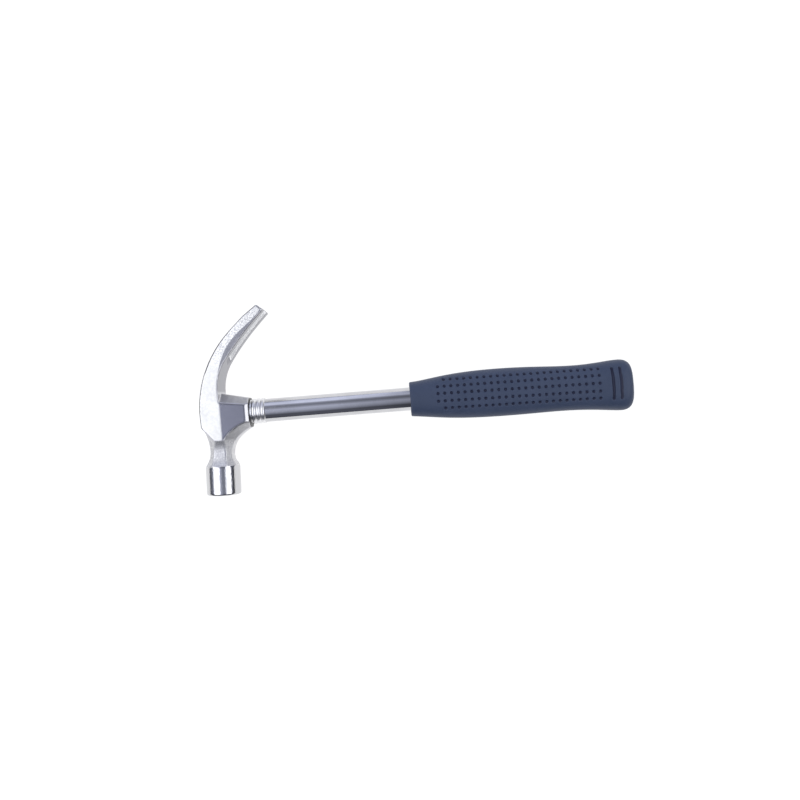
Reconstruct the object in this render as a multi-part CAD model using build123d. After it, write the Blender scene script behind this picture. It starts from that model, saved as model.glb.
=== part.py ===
"""Claw hammer with a tubular steel shaft and a moulded grip.

Working frame, in mm: X along the shaft from the head to the butt, Y from the striking face to the claw,
Z through the thickness, with the origin where the shaft axis crosses the poll axis. At the end the hammer is
moved so that it lies on its side with its origin at the middle of the bottom of its bounding box.
"""
import os
from math import cos, pi, radians, sin, tan

from build123d import *

# Overall
HALF_THICK = 13.0          # half thickness of cheeks and grip, so that the hammer lies flat
TOOL = 90.0                # length of the cutting and trimming solids

# Poll and neck
POLL_R = 12.6
POLL_X = -1.6              # poll axis where it meets the neck
POLL_LEAN = 2.0            # lean of the poll axis, degrees
POLL_TOP = -38.5
POLL_LENGTH = 21.3
FACE_CHAMFER = 0.8
NECK_FOOT_R = 12.2         # leaves a narrow shoulder at the top of the poll
NECK_WAIST_LEFT = (-8.9, -27.0)
NECK_WAIST_RIGHT = (7.0, -31.0)
NECK_SHOULDER_Y = -12.0    # where its left side meets the cheeks
NECK_KNEE = (12.6, -18.0)  # where the neck turns into the underside of the socket
NECK_WAIST_Y = -29.5
NECK_HALF = 9.4            # half thickness at the waist
FACET_START = 5.4          # height above the middle plane where the facets of neck and socket begin
FACET_ANGLE = 42.0

# Cheeks
CHEEK_LEFT = -12.8
CHEEK_RIGHT = 1.9
CHEEK_BOTTOM = -19.5
CHEEK_CORNER_Y = -9.5
EDGE_BREAK = 0.8

# Socket
SOCKET_TOP = 14.9
SOCKET_END = 22.6
SOCKET_RIM_X = 19.8        # where the chamfer of the mouth starts
SOCKET_MOUTH_TOP = 10.3
SOCKET_MOUTH_BOTTOM = -11.5
SOCKET_RIM_HALF = 11.3
SOCKET_MOUTH_HALF = 9.8

# Claw
OUTER_R = 82.0             # radius of the outer edge
OUTER_TURN = 47.0          # degrees it turns before it runs straight
OUTER_RUN = 14.7
INNER_START_Y = 17.0
INNER_R = 37.0             # the inner edge turns tightly at first
INNER_TURN = 35.5
INNER_LONG_R = 230.0       # and then gently up to the tip
INNER_LONG_TURN = 12.3
INNER_LONG_PART = 0.93     # part of the gentle turn that ends at the tip
# Bevel of the inner edges: section of the turn, how far along it, width, depth
BEVEL = [
    (0, 0.1, 0.4, 0.15),
    (0, 0.6, 1.0, 0.25),
    (1, 0.0, 2.9, 0.6),
    (1, 0.5, 3.2, 0.7),
    (1, 1.0, 3.6, 0.8),
]
TIP_OUTER = (34.4, 77.6)
TIP_ROUND = 1.2
TAPER_START_Y = 30.0
TAPER_ANGLE = 0.7          # each side of the claw narrows by this angle towards the tips
SLOT_ROOT = (9.4, 39.6)    # where the nail slot starts on the inner side
SLOT_LENGTH = 60.0
SLOT_POINT = 0.35          # how far the root of the slot runs to a point, against its half width

# Shaft
TUBE_R = 8.6
TUBE_WALL = 1.8
TUBE_START = -12.0
TUBE_END = 284.0
BEAD_R = 9.4
BEAD_XS = (25.6, 28.9, 32.2)
BEAD_HALF = 1.6

# Seal, plugs and core
SEAL_R = 8.95
SEAL_START = 19.0
PLUG_LENGTH = 7.0
CORE_LENGTH = 70.0
BUTT_PLUG_LENGTH = 16.0
BUTT_PLUG_HEAD = 3.0

# Grip
GRIP_START = 141.0
GRIP_END = 305.4
GRIP_SHOULDER = 298.0
LIP = 1.0                  # rounding of the front edge
GRIP_POWER = 2.5           # exponent of the oval section
# Along the grip: x, top edge, bottom edge, half thickness
GRIP_SECTIONS = [
    (GRIP_START + LIP, 12.5, -13.1, 11.4),
    (160.0, 14.6, -15.3, 12.3),
    (180.0, 16.7, -17.2, 12.9),
    (200.0, 17.4, -18.0, 13.0),
    (225.0, 17.0, -18.1, 12.7),
    (260.0, 15.3, -18.0, 12.2),
    (280.0, 15.9, -19.3, 12.5),
    (GRIP_SHOULDER, 17.0, -21.0, 13.0),
]


def direction(angle):
    """Unit vector in the XY plane at an angle in degrees."""
    return Vector(cos(radians(angle)), sin(radians(angle)))


def rod(radius, start, end):
    """Cylinder along the shaft axis."""
    return Plane.YZ.offset(start) * Cylinder(radius, end - start, align=(Align.CENTER, Align.CENTER, Align.MIN))


def claw_edges():
    """Outer arc of the claw and the two arcs of its inner edge."""
    outer = JernArc((CHEEK_LEFT, 0), (0, 1), OUTER_R, -OUTER_TURN)
    inner = JernArc((CHEEK_RIGHT, INNER_START_Y), (0, 1), INNER_R, -INNER_TURN)
    inner_long = JernArc(inner @ 1, inner % 1, INNER_LONG_R, -INNER_LONG_TURN)
    return outer, inner, inner_long


def make_cheek_and_claw():
    outer, inner, inner_long = claw_edges()
    to_tip = inner_long.trim(0, INNER_LONG_PART)
    outline = Curve() + [
        outer,
        Polyline([outer @ 1, outer @ 1 + direction(90 - OUTER_TURN) * OUTER_RUN, TIP_OUTER, to_tip @ 1]),
        to_tip,
        inner,
        Polyline([inner @ 0, (CHEEK_RIGHT, CHEEK_BOTTOM), (-3.8, CHEEK_BOTTOM),
                  (CHEEK_LEFT + 0.4, CHEEK_CORNER_Y), (CHEEK_LEFT, 0)]),
    ]
    face = make_face(outline)
    tips = [v for v in face.vertices() if v.Y > 74]
    face = fillet(tips, TIP_ROUND)
    return extrude(face, HALF_THICK, both=True)


def make_claw_taper():
    """Wedge that narrows one side of the claw towards its tips."""
    fall = TOOL * tan(radians(TAPER_ANGLE))
    wedge = make_face(Plane.YZ * Polyline([
        (TAPER_START_Y, HALF_THICK), (TAPER_START_Y + TOOL, HALF_THICK - fall),
        (TAPER_START_Y + TOOL, HALF_THICK + 5), (TAPER_START_Y, HALF_THICK + 5),
    ], close=True))
    return extrude(wedge, TOOL, both=True)


def make_claw_bevel():
    """Bevel along one inner edge of the claw, wider towards the tip."""
    turns = claw_edges()[1:]
    sections = []
    for turn, place, width, drop in BEVEL:
        point = turns[turn] @ place
        along = turns[turn] % place
        height = HALF_THICK - max(0, point.Y - TAPER_START_Y) * tan(radians(TAPER_ANGLE))
        across = Plane(origin=point, x_dir=(along.Y, -along.X, 0), z_dir=-along)
        slope = drop / width
        sections.append(make_face(across * Polyline([
            (-width, height), (3, height - drop - 3 * slope), (3, height + 4), (-width, height + 4),
        ], close=True)))
    return loft(sections)


def make_nail_slot():
    """V slot, countersunk on the inner side of the claw."""
    middle = 90 - (OUTER_TURN + INNER_TURN + INNER_LONG_TURN) / 2
    slot_plane = Plane(origin=Vector(*SLOT_ROOT), x_dir=direction(middle), z_dir=direction(middle - 90))
    ends = []
    for depth, root, root_half, end_half in ((-14, 9.0, 0.6, 2.4), (5, -4.6, 8.4, 9.6)):
        ends.append(make_face(slot_plane.offset(depth) * Polyline([
            (root, -root_half), (root - SLOT_POINT * root_half, 0), (root, root_half),
            (SLOT_LENGTH, end_half), (SLOT_LENGTH, -end_half),
        ], close=True)))
    return loft(ends, ruled=True)


def neck_outline(inset):
    """Side outline of neck and socket, drawn in by an inset all round."""
    left_foot = POLL_X - NECK_FOOT_R + inset
    right_foot = POLL_X + NECK_FOOT_R - inset
    past_mouth = SOCKET_END + 10
    left_waist = (NECK_WAIST_LEFT[0] + inset, NECK_WAIST_LEFT[1])
    right_waist = (NECK_WAIST_RIGHT[0] - inset, NECK_WAIST_RIGHT[1])
    knee = (NECK_KNEE[0] - 0.75 * inset, NECK_KNEE[1] + 0.65 * inset)
    top = SOCKET_TOP - inset
    right = TangentArc([right_waist, knee], tangent=(0, 1))
    under = TangentArc([knee, (SOCKET_END, SOCKET_MOUTH_BOTTOM + inset)], tangent=right % 1)
    left = TangentArc([left_waist, (CHEEK_LEFT + 0.6 + inset, NECK_SHOULDER_Y)], tangent=(0, 1))
    return make_face(Curve() + [
        TangentArc([right_waist, (right_foot, POLL_TOP)], tangent=(0, -1)),
        right,
        under,
        Polyline([under @ 1, (past_mouth, SOCKET_MOUTH_BOTTOM + 1.5 + inset),
                  (past_mouth, SOCKET_MOUTH_TOP - 1.5 - inset), (SOCKET_END, SOCKET_MOUTH_TOP - inset),
                  (CHEEK_RIGHT, top), (CHEEK_LEFT + 4 + inset, top), left @ 1]),
        left,
        TangentArc([left_waist, (left_foot, POLL_TOP)], tangent=(0, -1)),
        Polyline([(left_foot, POLL_TOP), (left_foot + 2, POLL_TOP - 6), (right_foot - 2, POLL_TOP - 6),
                  (right_foot, POLL_TOP)]),
    ])


def make_neck_and_socket():
    """Side outline with facets all round, pinched in thickness at the waist and thinner at the mouth."""
    inset = (HALF_THICK - FACET_START) * tan(radians(FACET_ANGLE))
    facets = loft([Pos(0, 0, FACET_START) * neck_outline(0), Pos(0, 0, HALF_THICK) * neck_outline(inset)],
                  ruled=True)
    body = extrude(neck_outline(0), FACET_START, both=True) + facets + mirror(facets, Plane.XY)

    waist = ThreePointArc((POLL_TOP, NECK_FOOT_R + 0.1), (NECK_WAIST_Y, NECK_HALF), (CHEEK_BOTTOM, HALF_THICK))
    side = Curve() + [waist, Polyline([
        waist @ 1, (TOOL, HALF_THICK), (TOOL, 0), (-TOOL, 0), (-TOOL, NECK_FOOT_R + 0.1), waist @ 0,
    ])]
    thickness = extrude(make_face(Plane.YZ * side), TOOL, both=True)
    socket_side = Polyline([
        (-TOOL, 0), (-TOOL, HALF_THICK), (CHEEK_RIGHT, HALF_THICK), (SOCKET_RIM_X, SOCKET_RIM_HALF),
        (SOCKET_END, SOCKET_MOUTH_HALF), (SOCKET_END, 0),
    ], close=True)
    socket_thickness = extrude(make_face(Plane.XZ * socket_side), TOOL, both=True)
    body &= thickness + mirror(thickness, Plane.XY)
    body &= socket_thickness + mirror(socket_thickness, Plane.XY)

    cone = make_face(Polyline([(0, POLL_TOP - 10), (NECK_FOOT_R, POLL_TOP - 10), (NECK_FOOT_R, POLL_TOP),
                               (TOOL, POLL_TOP + TOOL), (0, POLL_TOP + TOOL)], close=True))
    body &= Pos(POLL_X, 0, 0) * revolve(cone, Axis.Y)
    return body


def make_poll():
    poll = Cylinder(POLL_R, POLL_LENGTH, align=(Align.CENTER, Align.CENTER, Align.MIN))
    poll = chamfer(poll.edges().sort_by(Axis.Z)[-1], FACE_CHAMFER)
    return Pos(POLL_X, POLL_TOP, 0) * Rot(90, 0, 0) * Rot(0, -POLL_LEAN, 0) * poll


def outer_edges(claw):
    """Long edges of both side faces along the outer curve of cheek and claw."""
    centre = Vector(CHEEK_LEFT + OUTER_R, 0)
    edges = []
    for edge in claw.edges():
        middle = edge @ 0.5
        off_curve = abs(Vector(middle.X, middle.Y).sub(centre).length - OUTER_R)
        if off_curve < 1.5 and abs(middle.Z) > HALF_THICK - 1 and edge.length > 5:
            edges.append(edge)
    return edges


def make_hammer_head():
    claw = make_cheek_and_claw()
    for cut in (make_claw_taper(), make_claw_bevel()):
        claw -= cut
        claw -= mirror(cut, Plane.XY)
    claw -= make_nail_slot()
    claw = fillet(outer_edges(claw), EDGE_BREAK)
    head = claw + make_neck_and_socket() + make_poll()
    head -= rod(TUBE_R, -TOOL, TOOL)
    head -= rod(SEAL_R, SEAL_START, TOOL)
    return head


def make_shaft_tube():
    inner_r = TUBE_R - TUBE_WALL
    edges = []
    x = TUBE_START
    for bead_x in BEAD_XS:
        edges.append(Line((x, TUBE_R), (bead_x - BEAD_HALF, TUBE_R)))
        x = bead_x + BEAD_HALF
        edges.append(ThreePointArc((bead_x - BEAD_HALF, TUBE_R), (bead_x, BEAD_R), (x, TUBE_R)))
    edges.append(Polyline([(x, TUBE_R), (TUBE_END, TUBE_R), (TUBE_END, inner_r), (TUBE_START, inner_r),
                           (TUBE_START, TUBE_R)]))
    return revolve(make_face(Curve() + edges), Axis.X)


def make_eye_seal():
    return rod(SEAL_R, SEAL_START, SOCKET_END) - rod(TUBE_R, SEAL_START, SOCKET_END)


def make_eye_plug():
    plug = rod(TUBE_R - TUBE_WALL, TUBE_START, TUBE_START + PLUG_LENGTH)
    return chamfer(plug.edges().sort_by(Axis.X)[0], 0.5)


def make_core_dowel():
    start = TUBE_START + PLUG_LENGTH
    return rod(TUBE_R - TUBE_WALL, start, start + CORE_LENGTH)


def make_butt_plug():
    stem = rod(TUBE_R - TUBE_WALL, TUBE_END - BUTT_PLUG_LENGTH, TUBE_END)
    return stem + rod(TUBE_R, TUBE_END, TUBE_END + BUTT_PLUG_HEAD)


def oval(x, top, bottom, half):
    """Oval section of the grip across the shaft at x."""
    centre = (top + bottom) / 2
    points = []
    for step in range(24):
        across = cos(2 * pi * step / 24)
        up = sin(2 * pi * step / 24)
        size = (abs(across) ** GRIP_POWER + abs(up) ** GRIP_POWER) ** (-1 / GRIP_POWER)
        points.append((x, centre + across * size * (top - bottom) / 2, up * size * half))
    return make_face(Spline(points, periodic=True))


def rounded_end(section, end_x, inset_y, inset_z):
    """Quarter round from a section of the grip to its flat end."""
    x, top, bottom, half = section
    steps = []
    for angle in (0, 25, 45, 62, 77, 90):
        share = 1 - cos(radians(angle))
        steps.append(oval(x + (end_x - x) * sin(radians(angle)), top - inset_y * share,
                          bottom + inset_y * share, half - inset_z * share))
    return loft(steps)


def make_grip():
    grip = loft([oval(*section) for section in GRIP_SECTIONS])
    grip += rounded_end(GRIP_SECTIONS[-1], GRIP_END, 6.5, 6)
    grip += rounded_end(GRIP_SECTIONS[0], GRIP_START, LIP, LIP)
    return grip - rod(TUBE_R, GRIP_START - 1, TUBE_END + BUTT_PLUG_HEAD)


PIECES = {
    "hammer_head": make_hammer_head,
    "shaft_tube": make_shaft_tube,
    "eye_seal": make_eye_seal,
    "eye_plug": make_eye_plug,
    "core_dowel": make_core_dowel,
    "butt_plug": make_butt_plug,
    "grip": make_grip,
}


def main():
    pieces = {name: make() for name, make in PIECES.items()}
    box = Compound(list(pieces.values())).bounding_box()
    place = Pos(-box.center().X, -box.center().Y, -box.min.Z)
    os.makedirs("parts", exist_ok=True)
    for name, piece in pieces.items():
        export_step(place * piece, f"parts/{name}.step")


if __name__ == "__main__":
    main()
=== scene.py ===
from functools import cached_property
from math import ceil, cos, pi, radians, sin, tan
from types import SimpleNamespace

import bmesh
import bpy
import numpy as np
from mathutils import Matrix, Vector, kdtree
from mathutils.bvhtree import BVHTree


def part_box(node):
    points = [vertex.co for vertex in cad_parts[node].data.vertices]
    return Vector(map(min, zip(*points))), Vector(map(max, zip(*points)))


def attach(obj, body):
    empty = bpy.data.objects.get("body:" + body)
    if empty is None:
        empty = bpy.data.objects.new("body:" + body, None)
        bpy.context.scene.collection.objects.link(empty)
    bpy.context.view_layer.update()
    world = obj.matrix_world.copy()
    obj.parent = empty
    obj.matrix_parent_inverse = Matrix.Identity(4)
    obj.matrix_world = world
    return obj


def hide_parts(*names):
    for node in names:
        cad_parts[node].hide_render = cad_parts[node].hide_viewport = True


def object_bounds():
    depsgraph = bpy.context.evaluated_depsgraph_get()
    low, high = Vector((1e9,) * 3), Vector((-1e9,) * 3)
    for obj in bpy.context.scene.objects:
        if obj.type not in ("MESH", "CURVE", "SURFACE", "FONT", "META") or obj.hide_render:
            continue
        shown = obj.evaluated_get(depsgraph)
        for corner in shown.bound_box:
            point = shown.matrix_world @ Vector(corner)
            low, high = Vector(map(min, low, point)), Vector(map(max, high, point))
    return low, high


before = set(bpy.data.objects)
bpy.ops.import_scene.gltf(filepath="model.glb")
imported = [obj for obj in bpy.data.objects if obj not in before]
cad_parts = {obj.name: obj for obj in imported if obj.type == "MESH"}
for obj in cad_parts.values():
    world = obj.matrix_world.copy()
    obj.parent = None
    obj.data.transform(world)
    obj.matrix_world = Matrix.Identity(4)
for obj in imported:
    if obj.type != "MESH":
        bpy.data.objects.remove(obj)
cad_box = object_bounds()

# The hammer lies on its side: +X runs from head to butt, +Y from poll to claw, and +Z through its thickness.
MM = 0.001
TUBE_PAST_POLL = 12 * MM                  # how far the tube reaches past the poll's line, inside the head

tube_low, tube_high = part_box("shaft_tube")
AXIS_Y = (tube_low.y + tube_high.y) / 2   # axis of the shaft
AXIS_Z = (tube_low.z + tube_high.z) / 2
ORIGIN = Vector((tube_low.x + TUBE_PAST_POLL, AXIS_Y, AXIS_Z))


def at(x, y):
    """Point in mm from where the shaft's axis crosses the poll's line: +X to the butt, +Y to the claw."""
    return ORIGIN + Vector((x, y, 0)) * MM


def along(*distances):
    """X of places given in mm from the poll's line towards the butt."""
    return [at(distance, 0).x for distance in distances]


def across(*distances):
    """Y of places given in mm from the shaft's axis towards the claw."""
    return [at(0, distance).y for distance in distances]


# ---- camera ---------------------------------------------------------------------------------------
SENSOR_WIDTH = 36
CAMERA_HEIGHT = 0.55           # above the middle plane of the hammer
VIEW_WIDTH = 0.595             # what the picture shows across at the middle plane
ROLL = 4.55                    # degrees by which the shaft rises to the right
AIM = at(133.4, -0.24)         # the camera looks straight down at this point


def make_camera():
    data = bpy.data.cameras.new("camera")
    data.sensor_width = SENSOR_WIDTH
    data.lens = SENSOR_WIDTH * CAMERA_HEIGHT / VIEW_WIDTH
    camera = bpy.data.objects.new("camera", data)
    camera.location = AIM + Vector((0, 0, CAMERA_HEIGHT))
    camera.rotation_euler = (0, 0, -radians(ROLL))
    bpy.context.scene.collection.objects.link(camera)
    bpy.context.scene.camera = camera


# ---- tools for node trees -------------------------------------------------------------------------
NOISE_SPAN = (0.3, 0.7)        # nearly all values of a noise lie in this


def grey(level, blue=1.0):
    return (level, level, level * blue, 1)


class Nodes:
    """Short way to write the node tree of a world or a material. A value is a socket, number or colour."""

    def __init__(self, owner):
        owner.use_nodes = True
        self.owner = owner
        self.tree = owner.node_tree

    def put(self, node, socket, value):
        if isinstance(value, bpy.types.NodeSocket):
            self.tree.links.new(value, node.inputs[socket])
        else:
            node.inputs[socket].default_value = value

    def add(self, kind, inputs=None, **settings):
        node = self.tree.nodes.new(kind)
        for key, value in settings.items():
            setattr(node, key, value)
        for socket, value in (inputs or {}).items():
            self.put(node, socket, value)
        return node

    def split(self, vector):
        """X, Y and Z of a vector."""
        return self.add("ShaderNodeSeparateXYZ", {0: vector}).outputs

    def math(self, operation, a, b=0.0, clamp=False):
        return self.add("ShaderNodeMath", {0: a, 1: b}, operation=operation, use_clamp=clamp).outputs[0]

    def times(self, first, *others):
        """Product of two or more numbers."""
        product = first
        for other in others:
            product = self.math("MULTIPLY", product, other)
        return product

    def invert(self, mask):
        return self.math("SUBTRACT", 1.0, mask)

    def ramp(self, value, start, end, low, high):
        """Goes smoothly from low to high while value goes from start to end."""
        inputs = {"Value": value, "From Min": start, "From Max": end, "To Min": low, "To Max": high}
        return self.add("ShaderNodeMapRange", inputs, interpolation_type="SMOOTHSTEP").outputs[0]

    def rise(self, value, start, end):
        return self.ramp(value, start, end, 0.0, 1.0)

    def fall(self, value, start, end):
        return self.ramp(value, start, end, 1.0, 0.0)

    def mix(self, mask, a, b):
        """Colour a where the mask is 0, and b where it is 1."""
        return self.add("ShaderNodeMix", {0: mask, 6: a, 7: b}, data_type="RGBA").outputs[2]

    def multiply(self, a, b):
        """Product of two colours."""
        inputs = {0: 1.0, 6: a, 7: b}
        return self.add("ShaderNodeMix", inputs, data_type="RGBA", blend_type="MULTIPLY").outputs[2]

    def blend(self, mask, a, b):
        """Number a where the mask is 0, and b where it is 1."""
        return self.add("ShaderNodeMix", {0: mask, 2: a, 3: b}, data_type="FLOAT").outputs[0]

    def layers(self, mixer, base, *coats):
        """Coats of (mask, colour or number) laid over a base one after the other, by mix or blend."""
        for mask, coat in coats:
            base = mixer(mask, base, coat)
        return base


class Finish(Nodes):
    """Material built around its Principled shader."""

    def __init__(self, name):
        super().__init__(bpy.data.materials.new(name))
        self.shader = self.tree.nodes["Principled BSDF"]

    @cached_property
    def place(self):
        """Object coordinates, in metres."""
        return self.add("ShaderNodeTexCoord").outputs["Object"]

    def noise(self, cells, detail, rough, turn=0.0):
        """Noise with so many cells to the metre: one number, or one each for X, Y and Z, turned about Z."""
        vector = self.place
        scale = cells
        if isinstance(cells, tuple):
            inputs = {"Vector": self.place, "Scale": cells, "Rotation": (0, 0, radians(turn))}
            vector = self.add("ShaderNodeMapping", inputs).outputs[0]
            scale = 1.0
        inputs = {"Vector": vector, "Scale": scale, "Detail": detail, "Roughness": rough}
        return self.add("ShaderNodeTexNoise", inputs).outputs["Fac"]

    def bump(self, height, distance, strength, under=None):
        """Relief in the surface's normal, on top of the relief under it."""
        inputs = {"Height": height, "Distance": distance, "Strength": strength}
        if under is not None:
            inputs["Normal"] = under
        return self.add("ShaderNodeBump", inputs).outputs[0]

    def shade(self, **values):
        """Sets the shader's inputs, named with _ for a space, and gives the material."""
        for name, value in values.items():
            self.put(self.shader, name.replace("_", " "), value)
        return self.owner


# ---- stage ----------------------------------------------------------------------------------------
FLOOR_HALF = 9.0
FLOOR_GREY = grey(0.2)
FLOOR_ROUGH = 0.8
FLOOR_GLOW = 0.92              # keeps the floor pale and even round the hammer
WHITE = grey(1)

BOX_DISTANCE = 2.5             # from the hammer to each soft box
BOX_REACH = 32                 # half its length along Y, in degrees as seen from the hammer
BOX_RADIANCE = 1.75
SOFT_BOXES = {"left_box": (-37, 20), "right_box": (44, 18)}    # degrees towards +X, and half its width there

# Level of the room's walls by the angle from straight up, in degrees towards +Y and towards +X
ROOM_Y = [(-90, 0.14), (-52, 0.12), (-38, 0.33), (-20, 0.56), (0, 0.68), (12, 0.45), (27, 0.26),
          (42, 0.45), (52, 1.0), (90, 1.0)]
ROOM_X = [(-90, 0.35), (-74, 0.25), (-62, 0.6), (-16, 1.0), (-8, 1.0), (-4, 0.9), (0, 0.62),
          (5, 0.44), (18, 0.44), (27, 0.7), (64, 0.6), (72, 0.22), (84, 0.2), (90, 0.35)]
ROOM_TINT = (0.92, 0.97, 1.2, 1)
BACKDROP = (0.93, 0.93, 0.94, 1)


def make_floor():
    corners = ((-1, -1), (1, -1), (1, 1), (-1, 1))
    floor_z = cad_box[0].z
    mesh = bpy.data.meshes.new("floor")
    mesh.from_pydata([(x * FLOOR_HALF, y * FLOOR_HALF, floor_z) for x, y in corners], [], [(0, 1, 2, 3)])
    floor = bpy.data.objects.new("floor", mesh)
    bpy.context.scene.collection.objects.link(floor)
    mesh.materials.append(Finish("floor").shade(
        Base_Color=FLOOR_GREY, Roughness=FLOOR_ROUGH, Specular_IOR_Level=0.0,
        Emission_Color=WHITE, Emission_Strength=FLOOR_GLOW))


def soft_box(name, angle, half_angle):
    """Soft box over the hammer, given by its angle from straight up towards +X and its half width there."""
    width = 2 * BOX_DISTANCE * tan(radians(half_angle))
    length = 2 * BOX_DISTANCE * tan(radians(BOX_REACH))
    data = bpy.data.lights.new(name, "AREA")
    data.shape = "RECTANGLE"
    data.size = width
    data.size_y = length
    data.energy = BOX_RADIANCE * pi * width * length
    light = bpy.data.objects.new(name, data)
    light.location = AIM + Vector((sin(radians(angle)), 0, cos(radians(angle)))) * BOX_DISTANCE
    light.rotation_euler = (0, radians(angle), 0)
    bpy.context.scene.collection.objects.link(light)


def wall_level(n, side, up, stops):
    """Grey level by the angle from straight up towards one side, from stops of (degrees, level)."""
    angle = n.math("ARCTAN2", side, up)
    share = n.add("ShaderNodeMapRange", {"Value": angle, "From Min": -pi / 2, "From Max": pi / 2}).outputs[0]
    ramp = n.add("ShaderNodeValToRGB", {0: share})
    elements = ramp.color_ramp.elements
    while len(elements) < len(stops):
        elements.new(0.5)
    for element, (degrees, level) in zip(elements, stops):
        element.position = (degrees + 90) / 180
        element.color = grey(level)
    return ramp.outputs[0]


def make_room():
    """Studio walls and ceiling, dark on the near side and pale on the far side, before a plain backdrop."""
    room = bpy.data.worlds.new("room")
    bpy.context.scene.world = room
    n = Nodes(room)
    x, y, z = n.split(n.add("ShaderNodeTexCoord").outputs["Generated"])
    level = n.multiply(wall_level(n, y, z, ROOM_Y), wall_level(n, x, z, ROOM_X))
    walls = n.tree.nodes["Background"]
    n.put(walls, "Color", n.multiply(level, ROOM_TINT))
    backdrop = n.add("ShaderNodeBackground", {"Color": BACKDROP})
    seen = n.add("ShaderNodeLightPath").outputs["Is Camera Ray"]
    pick = n.add("ShaderNodeMixShader", {0: seen, 1: walls.outputs[0], 2: backdrop.outputs[0]})
    n.put(n.tree.nodes["World Output"], 0, pick.outputs[0])


# ---- steel of the head ----------------------------------------------------------------------------
# A border between two finishes, or between a finish and painted shade or highlight, runs from where one
# starts to give way to where the next is whole.
# Borders across the shaft, in mm from its axis towards the claw:
POLL_END = (-38.8, -38.2)
CHEEK_START = (-22, -19)
NECK_END = (-19.5, -18.5)
RIM_START = (-11.5, -9.5)
CLAW_START = (15, 17)
# The claw is etched, and given a painted highlight, from here towards its tips
ETCHING_AND_HIGHLIGHT_START = (24, 50)
# Borders along the shaft, in mm from the poll's line towards the butt:
SOCKET_START = (2.2, 3.2)
MOUTH_START = (20.6, 21.4)
# Height above or below the middle plane of the hammer:
SLOT_TOP = (8.6 * MM, 9.2 * MM)
# How level a face lies, by the Z part of its normal:
CHEEK_LEVEL = (0.9965, 0.9985)
SOCKET_LEVEL = (0.93, 0.97)
WALL_LEVEL = (0.55, 0.85)
SLOT_LEVEL = (0.5, 0.7)
RIM_LEVEL = (0.25, 0.4)
# How far a face turns towards the butt, by the X part of its normal:
RIM_TURN = (-0.3, -0.14)
MOUTH_TURN = (0.75, 0.9)

BRUSHED_DARK = grey(0.58, 1.04)
BRUSHED_PALE = grey(0.68, 1.04)
PITTED = grey(0.50, 1.04)
LUMP_DARK = grey(0.62, 1.04)
LUMP_PALE = grey(0.92, 1.0)
GROUND_DARK = grey(0.74, 0.97)
GROUND_PALE = grey(0.84, 0.97)
# Painted highlight: the claw's flat faces made paler towards its tips
TIPS_PAINTED_HIGHLIGHT = grey(1.0, 0.97)
ETCHED = grey(0.55, 1.02)
SCRATCHED = grey(0.35)
# Painted shade on the claw's steep faces
WALL_PAINTED_SHADE = grey(0.34, 1.08)
SOCKET_STEEL = grey(0.45, 1.10)
# Painted highlight on the slot walls; their rougher finish is real roughness
SLOT_PAINTED_HIGHLIGHT = grey(0.95, 0.98)
# Painted shade: a dark line along the outer rim
RIM_PAINTED_SHADE = grey(0.10)
POLL_STEEL = grey(0.60, 1.02)
# Painted shade on the socket's end face round the tube, where the mouth lies in shadow
MOUTH_PAINTED_SHADE = grey(0.02)

BRUSHED_ROUGH = 0.34
NECK_ROUGH = 0.5
SOCKET_ROUGH = 0.17
SLOT_ROUGH = 0.5
CHEEK_ROUGH = (0.34, 0.44)
POLL_ROUGH = (0.07, 0.14)


def head_zones(n):
    """Masks for the finishes of the head and for its painted shade and highlight, told apart by place and by
    which way the surface faces.
    """
    x, y, z = n.split(n.place)
    turn, _, up = n.split(n.add("ShaderNodeNewGeometry").outputs["Normal"])
    level = n.math("ABSOLUTE", up)
    height = n.math("ABSOLUTE", n.math("SUBTRACT", z, AXIS_Z))
    claw = n.rise(y, *across(*CLAW_START))
    body = n.invert(claw)
    poll = n.fall(y, *across(*POLL_END))
    cheek = n.times(n.rise(level, *CHEEK_LEVEL), n.rise(y, *across(*CHEEK_START)))
    return SimpleNamespace(
        poll=poll,
        cheek=cheek,
        rest=n.math("SUBTRACT", n.math("SUBTRACT", 1.0, cheek, clamp=True), poll, clamp=True),
        neck=n.fall(y, *across(*NECK_END)),
        tips=n.rise(y, *across(*ETCHING_AND_HIGHLIGHT_START)),
        socket=n.times(n.rise(x, *along(*SOCKET_START)), body, n.rise(level, *SOCKET_LEVEL)),
        wall=n.times(n.fall(level, *WALL_LEVEL), claw),
        slot=n.times(n.fall(height, *SLOT_TOP), n.rise(level, *SLOT_LEVEL), claw),
        rim=n.times(n.fall(turn, *RIM_TURN), n.rise(level, *RIM_LEVEL), n.rise(y, *across(*RIM_START))),
        mouth=n.times(n.rise(turn, *MOUTH_TURN), n.rise(x, *along(*MOUTH_START)), body))


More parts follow.
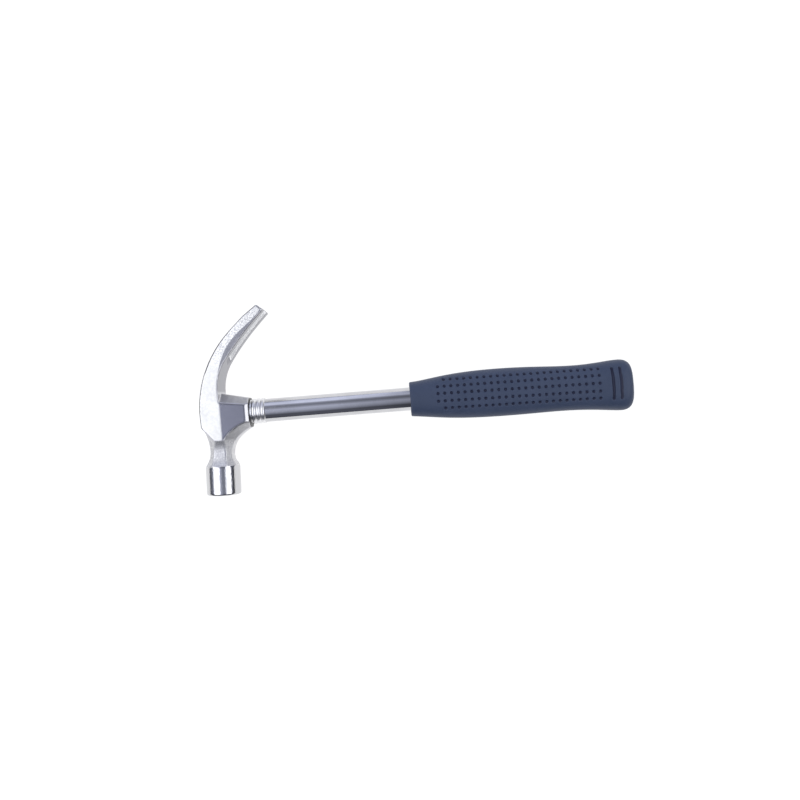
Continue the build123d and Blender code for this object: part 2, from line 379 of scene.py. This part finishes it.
def head_steel():
    """Polished poll, lumpy neck, ground cheeks with fine hatch marks, and a claw etched towards its tips,
    with painted highlight on the claw's flat faces towards its tips and on its slot walls, and painted shade
    on its steep faces, its outer rim and the socket's mouth face.
    """
    n = Finish("head_steel")
    zone = head_zones(n)
    mottle = n.noise(420, detail=4, rough=0.6)
    speck = n.noise(2600, detail=3, rough=0.7)
    wear = n.noise(90, detail=3, rough=0.6)
    lumps = n.noise((1300, 600, 1300), detail=3, rough=0.6)
    etching = n.times(n.rise(n.noise(1100, detail=3, rough=0.6), 0.44, 0.58), zone.tips)
    right_hatch = n.noise((900, 16000, 900), detail=2, rough=0.5, turn=20)
    left_hatch = n.noise((1200, 14000, 900), detail=2, rough=0.5, turn=-24)
    hatch = n.math("MAXIMUM", n.rise(right_hatch, 0.66, 0.74), n.rise(left_hatch, 0.67, 0.75))
    hatch = n.times(hatch, zone.cheek)

    mottled = n.rise(mottle, *NOISE_SPAN)
    pits = n.times(zone.rest, n.rise(speck, 0.42, 0.62))
    lumpy = n.mix(n.rise(lumps, 0.38, 0.6), LUMP_DARK, LUMP_PALE)
    # ground carries a painted highlight that pales the claw's flat faces towards the tips, under the etching
    ground = n.layers(n.mix, n.mix(mottled, GROUND_DARK, GROUND_PALE),
                      (zone.tips, TIPS_PAINTED_HIGHLIGHT), (n.times(etching, 0.85), ETCHED))
    # Painted shade darkens the claw's steep faces, the outer rim and the socket's mouth face; painted
    # highlight pales the slot walls and the claw's tips
    tone = n.layers(n.mix, n.mix(mottled, BRUSHED_DARK, BRUSHED_PALE),
                    (zone.neck, lumpy), (pits, PITTED), (zone.wall, WALL_PAINTED_SHADE),
                    (zone.socket, SOCKET_STEEL), (zone.slot, SLOT_PAINTED_HIGHLIGHT), (zone.cheek, ground),
                    (n.times(hatch, 0.4), SCRATCHED), (zone.rim, RIM_PAINTED_SHADE),
                    (zone.poll, POLL_STEEL), (zone.mouth, MOUTH_PAINTED_SHADE))
    rough = n.layers(n.blend, BRUSHED_ROUGH,
                     (zone.neck, NECK_ROUGH), (zone.socket, SOCKET_ROUGH), (zone.slot, SLOT_ROUGH),
                     (zone.cheek, n.ramp(wear, *NOISE_SPAN, *CHEEK_ROUGH)),
                     (zone.poll, n.ramp(wear, 0.35, 0.7, *POLL_ROUGH)))

    grain = n.times(n.math("ADD", speck, n.times(mottle, 0.5)), zone.rest)
    grain = n.math("ADD", grain, n.times(lumps, zone.neck, 2.0))
    relief = n.bump(grain, distance=0.06 * MM, strength=0.6)
    relief = n.bump(n.invert(hatch), distance=0.02 * MM, strength=0.5, under=relief)
    return n.shade(Base_Color=tone, Metallic=1.0, Roughness=rough, Normal=relief)


# ---- other materials ------------------------------------------------------------------------------
CHROME_DARK = grey(0.54, 1.03)
CHROME_PALE = grey(0.60, 1.03)
CHROME_RUBBED = grey(0.4)
BEAD_CHROME = grey(0.78, 1.02)
BEADS_END = (33.0, 33.6)       # in mm from the poll's line: the beads rolled in the tube lie before this
BEAD_ROUGH = 0.28

SLATE_DARK = (0.037, 0.055, 0.104, 1)
SLATE_PALE = (0.046, 0.065, 0.120, 1)
SLATE_GRAIN = (0.029, 0.043, 0.084, 1)
# Painted shade down in the dimples and grooves
SLATE_RECESS_SHADE = (0.008, 0.012, 0.042, 1)
DUST = (0.10, 0.12, 0.16, 1)
RUBBER_GLOSS = 0.4

RESIN_DARK = (0.006, 0.006, 0.007, 1)
RESIN_PALE = (0.03, 0.03, 0.032, 1)

PLUG_DARK = grey(0.32)
PLUG_PALE = grey(0.5)
TOOL_RING = 0.35 * MM

WOOD_DARK = (0.42, 0.25, 0.12, 1)
WOOD_PALE = (0.62, 0.42, 0.23, 1)
WOOD_PORE = (0.20, 0.11, 0.05, 1)

PLASTIC_DARK = (0.012, 0.012, 0.014, 1)
PLASTIC_PALE = (0.024, 0.024, 0.027, 1)


def chrome():
    """Chromed tube with faint polishing lines round it, a few rub marks and brighter, duller beads."""
    n = Finish("chrome")
    lines = n.noise((9000, 60, 60), detail=3, rough=0.6)
    marks = n.noise((120, 700, 700), detail=4, rough=0.6)
    smudge = n.noise(55, detail=3, rough=0.6)
    beads = n.fall(n.split(n.place)[0], *along(*BEADS_END))
    tone = n.layers(n.mix, n.mix(n.rise(smudge, 0.35, 0.7), CHROME_PALE, CHROME_DARK),
                    (n.ramp(marks, 0.63, 0.75, 0.0, 0.3), CHROME_RUBBED), (beads, BEAD_CHROME))
    rough = n.math("ADD", n.ramp(smudge, *NOISE_SPAN, 0.06, 0.12), n.ramp(marks, 0.6, 0.75, 0.0, 0.06))
    return n.shade(Base_Color=tone, Metallic=1.0, Roughness=n.blend(beads, rough, BEAD_ROUGH),
                   Normal=n.bump(lines, distance=0.004 * MM, strength=0.5))


def grip_rubber():
    """Moulded grip: matte slate blue with a fine grain and some dust, and painted shade darkening it down in
    its recesses.
    """
    n = Finish("grip_rubber")
    grain = n.noise(5200, detail=3, rough=0.6)
    fine = n.noise(1400, detail=3, rough=0.6)
    patch = n.noise(38, detail=4, rough=0.6)
    dust = n.noise(2200, detail=2, rough=0.5)
    recess_shade = n.add("ShaderNodeAttribute", attribute_name="recess_shade").outputs["Fac"]
    # Painted shade darkens the dimples and grooves by their depth
    tone = n.layers(n.mix, n.mix(n.rise(patch, *NOISE_SPAN), SLATE_DARK, SLATE_PALE),
                    (n.ramp(fine, 0.35, 0.75, 0.0, 0.4), SLATE_GRAIN),
                    (n.ramp(dust, 0.68, 0.78, 0.0, 0.3), DUST),
                    (n.rise(recess_shade, 0.1, 0.7), SLATE_RECESS_SHADE))
    relief = n.bump(n.math("ADD", grain, n.times(fine, 1.4)), distance=0.05 * MM, strength=0.5)
    return n.shade(Base_Color=tone, Roughness=n.ramp(patch, *NOISE_SPAN, 0.48, 0.60), Normal=relief,
                   Specular_IOR_Level=RUBBER_GLOSS)


def black_resin():
    """Blotchy, uneven bead of resin."""
    n = Finish("black_resin")
    blotch = n.noise(700, detail=4, rough=0.6)
    return n.shade(Base_Color=n.mix(blotch, RESIN_DARK, RESIN_PALE),
                   Roughness=n.ramp(blotch, *NOISE_SPAN, 0.35, 0.7),
                   Normal=n.bump(blotch, distance=0.1 * MM, strength=0.6))


def plug_steel():
    """Turned plug with rings left by the tool."""
    n = Finish("plug_steel")
    centred = n.add("ShaderNodeMapping", {"Vector": n.place, "Location": (0, -AXIS_Y, -AXIS_Z)}).outputs[0]
    _, y, z = n.split(centred)
    radius = n.math("SQRT", n.math("ADD", n.math("POWER", y, 2.0), n.math("POWER", z, 2.0)))
    rings = n.math("SINE", n.times(radius, 2 * pi / TOOL_RING))
    stain = n.noise(500, detail=4, rough=0.6)
    return n.shade(Base_Color=n.mix(n.rise(stain, *NOISE_SPAN), PLUG_DARK, PLUG_PALE), Metallic=1.0,
                   Roughness=n.ramp(stain, *NOISE_SPAN, 0.25, 0.45),
                   Normal=n.bump(rings, distance=0.02 * MM, strength=0.6))


def core_wood():
    """Hardwood dowel with its grain straight along the shaft."""
    n = Finish("core_wood")
    rings = n.noise((14, 520, 520), detail=4, rough=0.6)
    pores = n.noise((160, 5200, 5200), detail=2, rough=0.5)
    tone = n.mix(n.rise(rings, 0.35, 0.65), WOOD_DARK, WOOD_PALE)
    tone = n.mix(n.ramp(pores, 0.6, 0.75, 0.0, 0.7), tone, WOOD_PORE)
    return n.shade(Base_Color=tone, Roughness=n.ramp(rings, *NOISE_SPAN, 0.5, 0.7),
                   Normal=n.bump(pores, distance=0.08 * MM, strength=0.6))


def plug_plastic():
    """Moulded black plastic with a fine skin."""
    n = Finish("plug_plastic")
    skin = n.noise(2400, detail=3, rough=0.6)
    cloud = n.noise(120, detail=3, rough=0.5)
    return n.shade(Base_Color=n.mix(cloud, PLASTIC_DARK, PLASTIC_PALE),
                   Roughness=n.ramp(cloud, *NOISE_SPAN, 0.4, 0.6),
                   Normal=n.bump(skin, distance=0.04 * MM, strength=0.5))


# ---- mesh tools -----------------------------------------------------------------------------------
WELD_GAP = 0.002 * MM


def welded(node):
    """Copy of a CAD node's mesh with its split vertices joined."""
    bm = bmesh.new()
    bm.from_mesh(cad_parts[node].data)
    bmesh.ops.remove_doubles(bm, verts=bm.verts, dist=WELD_GAP)
    bm.normal_update()
    return bm


def new_piece(name, mesh, material, slot, *replaced):
    piece = bpy.data.objects.new(name, mesh)
    bpy.context.scene.collection.objects.link(piece)
    mesh.materials.clear()
    mesh.materials.append(material)
    mesh.shade_smooth()
    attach(piece, "root")
    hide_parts(*replaced)


# ---- grip -----------------------------------------------------------------------------------------
grip_low, grip_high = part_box("grip")
GRIP_STEP = 0.36 * MM                     # between the rings of points along the grip
AROUND = 320                              # points in a ring
LIP_STEPS = (0.02, 0.15, 0.4, 0.75)       # in mm from the front, where the rings of the rounded lip lie
LIP_END = 1.2 * MM
CAP_BACK = 12 * MM                        # the rounded butt is a fan of rings about a point this far from it
CAP_RINGS = 34
OUTSIDE = 60 * MM                         # from the axis to a point that is clear of the grip
BORE_R = 8.6 * MM
BORE_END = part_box("butt_plug")[1].x
FACE_SHARES = (0.35, 0.7, 0.94)           # rings of the front face, from the bore out to the lip
EVENING_ROUNDS = 10

DIMPLE_R = 1.2 * MM
DIMPLE_DEPTH = 1.1 * MM
DIMPLE_CURVE = 2.6                        # higher for a flatter floor
DIMPLE_FIRST = 161.3                      # mm from the poll's line
DIMPLE_PITCH = 4.92
DIMPLE_COLUMNS = 25
# Rows of dimples: mm from the axis at the first column and at the last, and the column that the row starts in
DIMPLE_ROWS = [(12.4, 11.2, 1), (7.4, 6.2, 0), (2.2, 0.4, 0), (-3.4, -5.4, 0), (-8.8, -10.6, 1)]

GROOVE_XS = along(289.0, 294.8)
GROOVE_Y = at(0, -0.6).y                  # middle of both grooves
GROOVE_HALF_LENGTH = 11.2 * MM
GROOVE_HALF = 1.05 * MM                   # half of a groove's width
GROOVE_BULGE = 0.3 * MM                   # towards the butt, at the middle of a groove
GROOVE_DEPTH = 1.2 * MM
GROOVE_CURVE = 3

WALL_CURVE = 0.6                          # lower for a steeper wall in a dimple or groove
SIDE_START = 0.15                         # Z part of the normal where dimples and grooves start to sink in
SIDE_SPAN = 0.2


def grip_surface():
    """Grid of points on the outside of the CAD grip: rings across the shaft, then a fan over the butt."""
    bm = welded("grip")
    tree = BVHTree.FromBMesh(bm)
    bm.free()
    fan_x = grip_high.x - CAP_BACK
    lip_x = grip_low.x + LIP_END
    count = ceil((fan_x - lip_x) / GRIP_STEP)
    rings_at = [(grip_low.x + step * MM, 0.0) for step in LIP_STEPS]
    rings_at += [(lip_x + (fan_x - lip_x) * i / count, 0.0) for i in range(count + 1)]
    rings_at += [(fan_x, radians(90 * i / CAP_RINGS)) for i in range(1, CAP_RINGS)]

    def outside_point(x, way):
        return tuple(tree.ray_cast(Vector((x, AXIS_Y, AXIS_Z)) + way * OUTSIDE, -way)[0])

    rings = []
    for x, tilt in rings_at:
        ring = []
        for j in range(AROUND):
            turn = 2 * pi * j / AROUND
            way = Vector((0, cos(turn), sin(turn))) * cos(tilt) + Vector((sin(tilt), 0, 0))
            ring.append(outside_point(x, way))
        rings.append(ring)
    return np.array(rings), np.array(outside_point(fan_x, Vector((1, 0, 0))))


def evened(grid):
    """Evens out the facets of the tessellation, leaving the front lip as it is."""
    first = len(LIP_STEPS)
    for _ in range(EVENING_ROUNDS):
        around = (np.roll(grid, 1, 1) + np.roll(grid, -1, 1)) / 2
        grid[first:] = grid[first:] * 0.5 + around[first:] * 0.5
        inner = (grid[first:-2] + grid[first + 2:]) / 2
        grid[first + 1:-1] = grid[first + 1:-1] * 0.5 + inner * 0.5
    return grid


def grid_normals(grid):
    lengthwise = np.gradient(grid, axis=0)
    around = np.roll(grid, -1, 1) - np.roll(grid, 1, 1)
    normal = np.cross(around, lengthwise)
    return normal / np.maximum(np.linalg.norm(normal, axis=2, keepdims=True), 1e-12)


def dimple_centres():
    centres = []
    for start_y, end_y, first in DIMPLE_ROWS:
        for column in range(first, DIMPLE_COLUMNS):
            share = column / (DIMPLE_COLUMNS - 1)
            x = DIMPLE_FIRST + DIMPLE_PITCH * column
            centres.append(at(x, start_y + (end_y - start_y) * share))
    return centres


def hollow(near, curve):
    """Depth of a hollow from 1 to 0, where near goes from 0 at its middle to 1 at its edge."""
    return np.clip(1 - near ** curve, 0, None) ** WALL_CURVE


def carve(grid):
    """Presses the dimples and the two grooves into both sides of the grip, and gives each point's depth."""
    x, y = grid[:, :, 0], grid[:, :, 1]
    depth = np.zeros(x.shape)
    for centre in dimple_centres():
        near = np.hypot(x - centre.x, y - centre.y) / DIMPLE_R
        depth = np.maximum(depth, hollow(near, DIMPLE_CURVE) * DIMPLE_DEPTH)
    share = (y - GROOVE_Y) / GROOVE_HALF_LENGTH
    past_end = np.maximum(np.abs(share) - 1, 0) * GROOVE_HALF_LENGTH
    for groove_x in GROOVE_XS:
        line_x = groove_x + GROOVE_BULGE * (1 - np.clip(share, -1, 1) ** 2)
        near = np.hypot(x - line_x, past_end) / GROOVE_HALF
        depth = np.maximum(depth, hollow(near, GROOVE_CURVE) * GROOVE_DEPTH)
    normal = grid_normals(grid)
    depth *= np.clip((np.abs(normal[:, :, 2]) - SIDE_START) / SIDE_SPAN, 0, 1)
    return grid - normal * depth[:, :, None], depth


def ring_faces(ring_count):
    """Quads between neighbouring rings, and fans that close the first and the last onto two more points."""
    last = (ring_count - 1) * AROUND
    first_hub = ring_count * AROUND
    last_hub = first_hub + 1
    faces = []
    for start in range(0, last, AROUND):
        for j in range(AROUND):
            k = (j + 1) % AROUND
            faces.append((start + j, start + k, start + AROUND + k, start + AROUND + j))
    for j in range(AROUND):
        k = (j + 1) % AROUND
        faces.append((first_hub, k, j))
        faces.append((last + j, last + k, last_hub))
    return faces


def make_grip():
    """Grip with its outside carved, and the bore that the tube and the butt plug fill."""
    grid, pole = grip_surface()
    grid, depth = carve(evened(grid))
    turns = [2 * pi * j / AROUND for j in range(AROUND)]
    front = np.array([[grip_low.x, AXIS_Y + cos(t) * BORE_R, AXIS_Z + sin(t) * BORE_R] for t in turns])
    bore_end = front.copy()
    bore_end[:, 0] = BORE_END
    face = [front * (1 - share) + grid[0] * share for share in FACE_SHARES]
    inside = [bore_end, front] + face
    rings = inside + list(grid)
    verts = np.concatenate(rings + [[[BORE_END, AXIS_Y, AXIS_Z]], [pole]])
    mesh = bpy.data.meshes.new("grip_moulded")
    mesh.from_pydata([tuple(v) for v in verts], [], ring_faces(len(rings)))
    bm = bmesh.new()
    bm.from_mesh(mesh)
    bmesh.ops.recalc_face_normals(bm, faces=bm.faces)
    bm.to_mesh(mesh)
    bm.free()
    # Depth share of each point, which drives the painted shade in the dimples and grooves
    recess_shade = np.zeros(len(verts))
    start = len(inside) * AROUND
    recess_shade[start:start + depth.size] = depth.ravel() / DIMPLE_DEPTH
    mesh.attributes.new("recess_shade", "FLOAT", "POINT").data.foreach_set("value", recess_shade)
    new_piece("grip_moulded", mesh, grip_rubber(), "grip_rubber", "grip")


# ---- head -----------------------------------------------------------------------------------------
HEAD_VOXEL = 0.4 * MM
SHARP = 22                                # degrees between two faces that make an edge sharp
EDGE_STEP = 0.2 * MM                      # between the points that mark a sharp edge
FREE_ZONE = 0.35 * MM                     # this near to a sharp edge the mesh is free to round off
HELD_ZONE = 0.75 * MM                     # from here on it is held on the CAD surface
SETTLE_ROUNDS = 3
SMOOTH_ROUNDS = 3
SMOOTHING = 0.6
LAST_SMOOTHING = 0.5


def sharp_edge_points(bm):
    """Search tree of points along the sharp edges."""
    points = []
    for edge in bm.edges:
        if len(edge.link_faces) == 2 and edge.calc_face_angle(0) > radians(SHARP):
            a, b = edge.verts[0].co, edge.verts[1].co
            steps = max(1, ceil((b - a).length / EDGE_STEP))
            points += [a.lerp(b, i / steps) for i in range(steps + 1)]
    tree = kdtree.KDTree(len(points))
    for i, point in enumerate(points):
        tree.insert(point, i)
    tree.balance()
    return tree


def voxel_copy(mesh):
    """Evenly meshed copy of a closed mesh."""
    source = bpy.data.objects.new("head_source", mesh)
    bpy.context.scene.collection.objects.link(source)
    remesh = source.modifiers.new("remesh", "REMESH")
    remesh.mode = "VOXEL"
    remesh.voxel_size = HEAD_VOXEL
    copy = bpy.data.meshes.new_from_object(source.evaluated_get(bpy.context.evaluated_depsgraph_get()))
    bpy.data.objects.remove(source)
    return copy


def smoothed(verts, edges, amount):
    """Points moved by a share of the way to the middle of their neighbours."""
    total = np.zeros_like(verts)
    count = np.zeros(len(verts))
    for here, there in ((0, 1), (1, 0)):
        np.add.at(total, edges[:, here], verts[edges[:, there]])
        np.add.at(count, edges[:, here], 1)
    return verts * (1 - amount) + total / np.maximum(count, 1)[:, None] * amount


def snapped(verts, surface, hold):
    """Points moved onto the surface, by the share that each is held."""
    nearest = np.array([tuple(surface.find_nearest(v)[0]) for v in verts])
    return nearest * hold + verts * (1 - hold)


def make_head():
    """Fine mesh of the CAD head with its edges rounded as forging and grinding leave them."""
    bm = welded("hammer_head")
    surface = BVHTree.FromBMesh(bm)
    sharp_edges = sharp_edge_points(bm)
    mesh = bpy.data.meshes.new("head_source")
    bm.to_mesh(mesh)
    bm.free()
    dense = voxel_copy(mesh)
    dense.name = "head_forged"
    verts = np.empty(len(dense.vertices) * 3)
    dense.vertices.foreach_get("co", verts)
    verts = verts.reshape(-1, 3)
    edges = np.empty(len(dense.edges) * 2, int)
    dense.edges.foreach_get("vertices", edges)
    edges = edges.reshape(-1, 2)

    from_edge = np.array([sharp_edges.find(v)[2] for v in verts])
    hold = np.clip((from_edge - FREE_ZONE) / (HELD_ZONE - FREE_ZONE), 0, 1)[:, None]
    for _ in range(SETTLE_ROUNDS):
        verts = snapped(verts, surface, hold)
        for _ in range(SMOOTH_ROUNDS):
            verts = smoothed(verts, edges, SMOOTHING)
    verts = smoothed(snapped(verts, surface, hold), edges, LAST_SMOOTHING)
    box_low, box_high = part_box("hammer_head")
    verts = np.clip(verts, tuple(box_low), tuple(box_high))
    dense.vertices.foreach_set("co", verts.ravel())
    dense.update()
    new_piece("head_forged", dense, head_steel(), "head_steel", "hammer_head")


# ---- scene ----------------------------------------------------------------------------------------
make_camera()
make_floor()
make_room()
for name, (angle, half_angle) in SOFT_BOXES.items():
    soft_box(name, angle, half_angle)
bpy.context.scene.view_settings.view_transform = "Standard"

make_head()
make_grip()
for node, material in {"shaft_tube": chrome(), "eye_seal": black_resin(), "eye_plug": plug_steel(),
                       "core_dowel": core_wood(), "butt_plug": plug_plastic()}.items():
    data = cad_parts[node].data
    data.materials.clear()
    data.materials.append(material)
